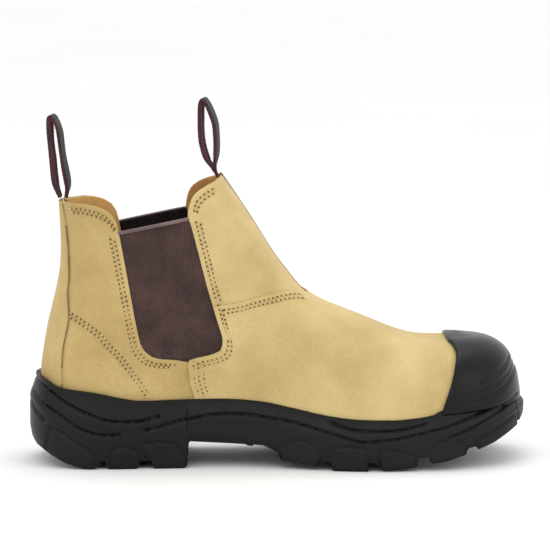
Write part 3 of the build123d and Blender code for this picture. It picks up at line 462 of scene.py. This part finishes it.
gl = [np.array(L) for L in ([(127.66, 52.86), (136.18, 56.89), (142.87, 60.79), (148.2, 65.34)], [(126.3, 47.53), (136.18, 51.5), (146.19, 56.89), (152.17, 63.39)], [(125, 42.2), (136.18, 46.23), (146.19, 52.15), (153.53, 60.14)], [(125.12, 34.14), (139.43, 36.22), (152.88, 42.85)])]
dl = np.zeros(len(P))
for L in gl: dl += np.exp(-(pl_dist(P[:, 0], P[:, 2], catmull(L, 6)) / 1.15) ** 2)
ed = pl_dist(D[:, 0] * 52, D[:, 1] * 52, np.vstack([poly, poly[:1]])); P = P - dr * (1.5 * np.clip(dl, 0, 1) + 0.9 * (1 - smooth(0, 2.0, ed)))[:, None]
bump = put("toe_bumper_rubber", P, [list(f) for f in r[2]], M["bumper"], "boot", "bumper_rubber"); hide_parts("toe_bumper")
nn = np.zeros(len(bump.data.vertices) * 3); bump.data.vertices.foreach_get("normal", nn)
if (nn.reshape(-1, 3) * (P - C0)).sum(-1).mean() < 0: bump.data.flip_normals()
so = bump.modifiers.new("s", "SOLIDIFY"); so.thickness = 0.0024; so.offset = -1; bake(bump)

# ------------------------------------------------------------------ pull loops: woven webbing, dark red inside
def loop(name, node, body, outer, hole, yaw, tip):
    O = resample(catmull(outer, 6), 1.0); H = catmull(hole, 6); Hc = np.vstack([H, H[:1]]); n = len(O); T = np.gradient(O, axis=0); T /= np.linalg.norm(T, axis=1)[:, None]
    Nn = np.stack([T[:, 1], -T[:, 0]], -1); ctr = O[[0, -1]].mean(0); d = np.minimum(np.min([[np.hypot(*(o - h)) for h in Hc] for o in O], axis=1), 4.2)
    for nm, f0, f1, mt in (("outside", 0.0, 0.34, M["web_out"]), ("inside", 0.30, 0.97, M["web_in"])):
        V = []; half_w = 7.3
        for i in range(n):
            tw = math.radians(yaw) * smooth(0, 1, i / (n - 1)); thick = max(1.5, min(2.5, d[i]))
            for (q, v) in ((f0, -.94), (f0, -.5), (f0, 0), (f0, .5), (f0, .94), (f0 + .1, 1), (f1 - .1, 1), (f1, .94), (f1, .5), (f1, 0), (f1, -.5), (f1, -.94), (f1 - .1, -1), (f0 + .1, -1)):
                rib = 0.07 * math.sin(i * 2.1 + v * 9); p = O[i] + Nn[i] * (q * thick + rib); y = v * half_w; cx = np.interp(p[1], [ctr[1], tip], [ctr[0], ctr[0]])
                a = math.radians(yaw) * float(smooth(0, 12, p[1] - ctr[1])); V.append([p[0] + y * math.sin(a), y * math.cos(a), p[1]])
        k = 14; F = [[i * k + j, i * k + (j + 1) % k, (i + 1) * k + (j + 1) % k, (i + 1) * k + j] for i in range(n - 1) for j in range(k)]
        F += [list(range(k))[::-1], [(n - 1) * k + j for j in range(k)]]
        o = put(name + "_" + nm, V, F, mt, body, "webbing")
        if nm == "outside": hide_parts(node)
loop("rear_loop_web", "rear_pull_loop", "rear_loop", REAR_LOOP, REAR_HOLE, 9, 221)
loop("front_loop_web", "front_pull_loop", "front_loop", FRONT_LOOP, FRONT_HOLE, 10, 231)

# sewn-in tail of a loop, held inside the shaft's top edge; made here for the front loop only
def tail(name, outer, body, slope, low, dx):
    b = catmull(outer, 6)[[0, -1]].mean(0); zz = np.linspace(b[1] + 1.6, b[1] - low, 9); V = []
    for z_ in zz:
        xc = b[0] + dx + slope * max(0.0, b[1] - z_)
        for q, v in ((-1, -.94), (-1, 0), (-1, .94), (-.5, 1), (.5, 1), (1, .94), (1, 0), (1, -.94), (.5, -1), (-.5, -1)): V.append([xc + q * 1.15, v * 7.0, z_])
    k = 10; F = [[i * k + j, i * k + (j + 1) % k, (i + 1) * k + (j + 1) % k, (i + 1) * k + j] for i in range(8) for j in range(k)]
    F += [list(range(k))[::-1], [8 * k + j for j in range(k)]]; put(name, V, F, M["web_in"], body, "webbing")
tail("front_loop_tail", FRONT_LOOP, "front_shaft", 0.60, 9.0, 0.0)

# centre-front seam cord and back seam lines, coloured with the painted seam shadow: dark tubes standing in for the
# shade along the seams
z = np.array([p[1] for p in RIDGE[1:8]]); xr = np.array([p[0] for p in RIDGE[1:8]]); rl = catmull(list(zip(xr, z)), 8)
tv = tube(np.stack([rl[:, 0] - 1.5, 0 * rl[:, 0], rl[:, 1] - 1.1], -1), 0.75); front.append(put("front_seam_welt", *tv, M["seam"], None, "suede"))

stl = catmull([(x + 1.4, z) for x, z in [(b, a) for a, b in STAY] if 52 < z < 166], 6)
# thin dark tube sunk along each backstay edge: painted shadow of the step at that edge
for sd, nm in ((-1, "lateral"), (1, "medial")):
    tv = tube(side_pt(stl[:, 0], stl[:, 1], sd, -0.75), 0.55, 8); put("backstay_seam_" + nm, *tv, M["seam"], "boot", "suede")

# ------------------------------------------------------------------ baking world transforms into the front pieces and gussets
for o in front:
    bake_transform(o)
for o, h in gus:
    for q in (o, h):
        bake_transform(q); n = len(q.data.vertices); c = np.zeros(n * 3); q.data.vertices.foreach_get("co", c); c = c.reshape(-1, 3)

for node, key in (("steel_shank", "steel"), ("insole_board", "board"), ("footbed", "foam"), ("footbed_top_cover", "knit"), ("heel_pad", "gel"),
                  ("steel_toe_cap", "steel"), ("toe_cap_edge_guard", "gel"), ("heel_counter", "board")):
    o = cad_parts[node]; o = o if hasattr(o, "data") else bpy.data.objects[node]
    o.data.materials.clear() if False else None
    for sl in o.material_slots: sl.material = M[key]

# ------------------------------------------------------------------ stage, light, camera
sc = bpy.context.scene
bpy.ops.mesh.primitive_plane_add(size=60, location=(0, 0, -0.0002)); fl = bpy.context.object; fl.name = "floor"; fl.data.materials.append(mat("floor", (.86, .86, .86), (.88, .88, .88), .9, 2, 0, 50))
w = bpy.data.worlds.new("w"); sc.world = w; w.use_nodes = True; w.node_tree.nodes["Background"].inputs[0].default_value = (1, 1, 1, 1); w.node_tree.nodes["Background"].inputs[1].default_value = 1.12
def area(nm, loc, tgt, size, e):
    l = bpy.data.lights.new(nm, "AREA"); l.size = size; l.energy = e; o = bpy.data.objects.new(nm, l); sc.collection.objects.link(o); o.location = loc
    o.rotation_euler = (Vector(tgt) - Vector(loc)).to_track_quat("-Z", "Y").to_euler()
area("key", (-0.5, -1.3, 1.3), (0, 0, .1), 0.9, 4); area("fill", (1.2, -0.9, 0.8), (0, 0, .1), 0.9, 2); area("top", (0.2, 0.3, 1.5), (0, 0, .1), 1.0, 4.5)
cam = bpy.data.cameras.new("cam"); co = bpy.data.objects.new("cam", cam); sc.collection.objects.link(co); sc.camera = co
az, el, dist, tgt = math.radians(-2.5), math.radians(7.5), 2.1, Vector((-0.0012, 0, 0.1178))
co.location = tgt + dist * Vector((math.sin(az) * math.cos(el), -math.cos(az) * math.cos(el), math.sin(el)))
co.rotation_euler = (tgt - co.location).to_track_quat("-Z", "Y").to_euler(); cam.lens = 214.5; cam.clip_end = 50; cam.clip_start = 0.05
sc.view_settings.view_transform = "Standard"
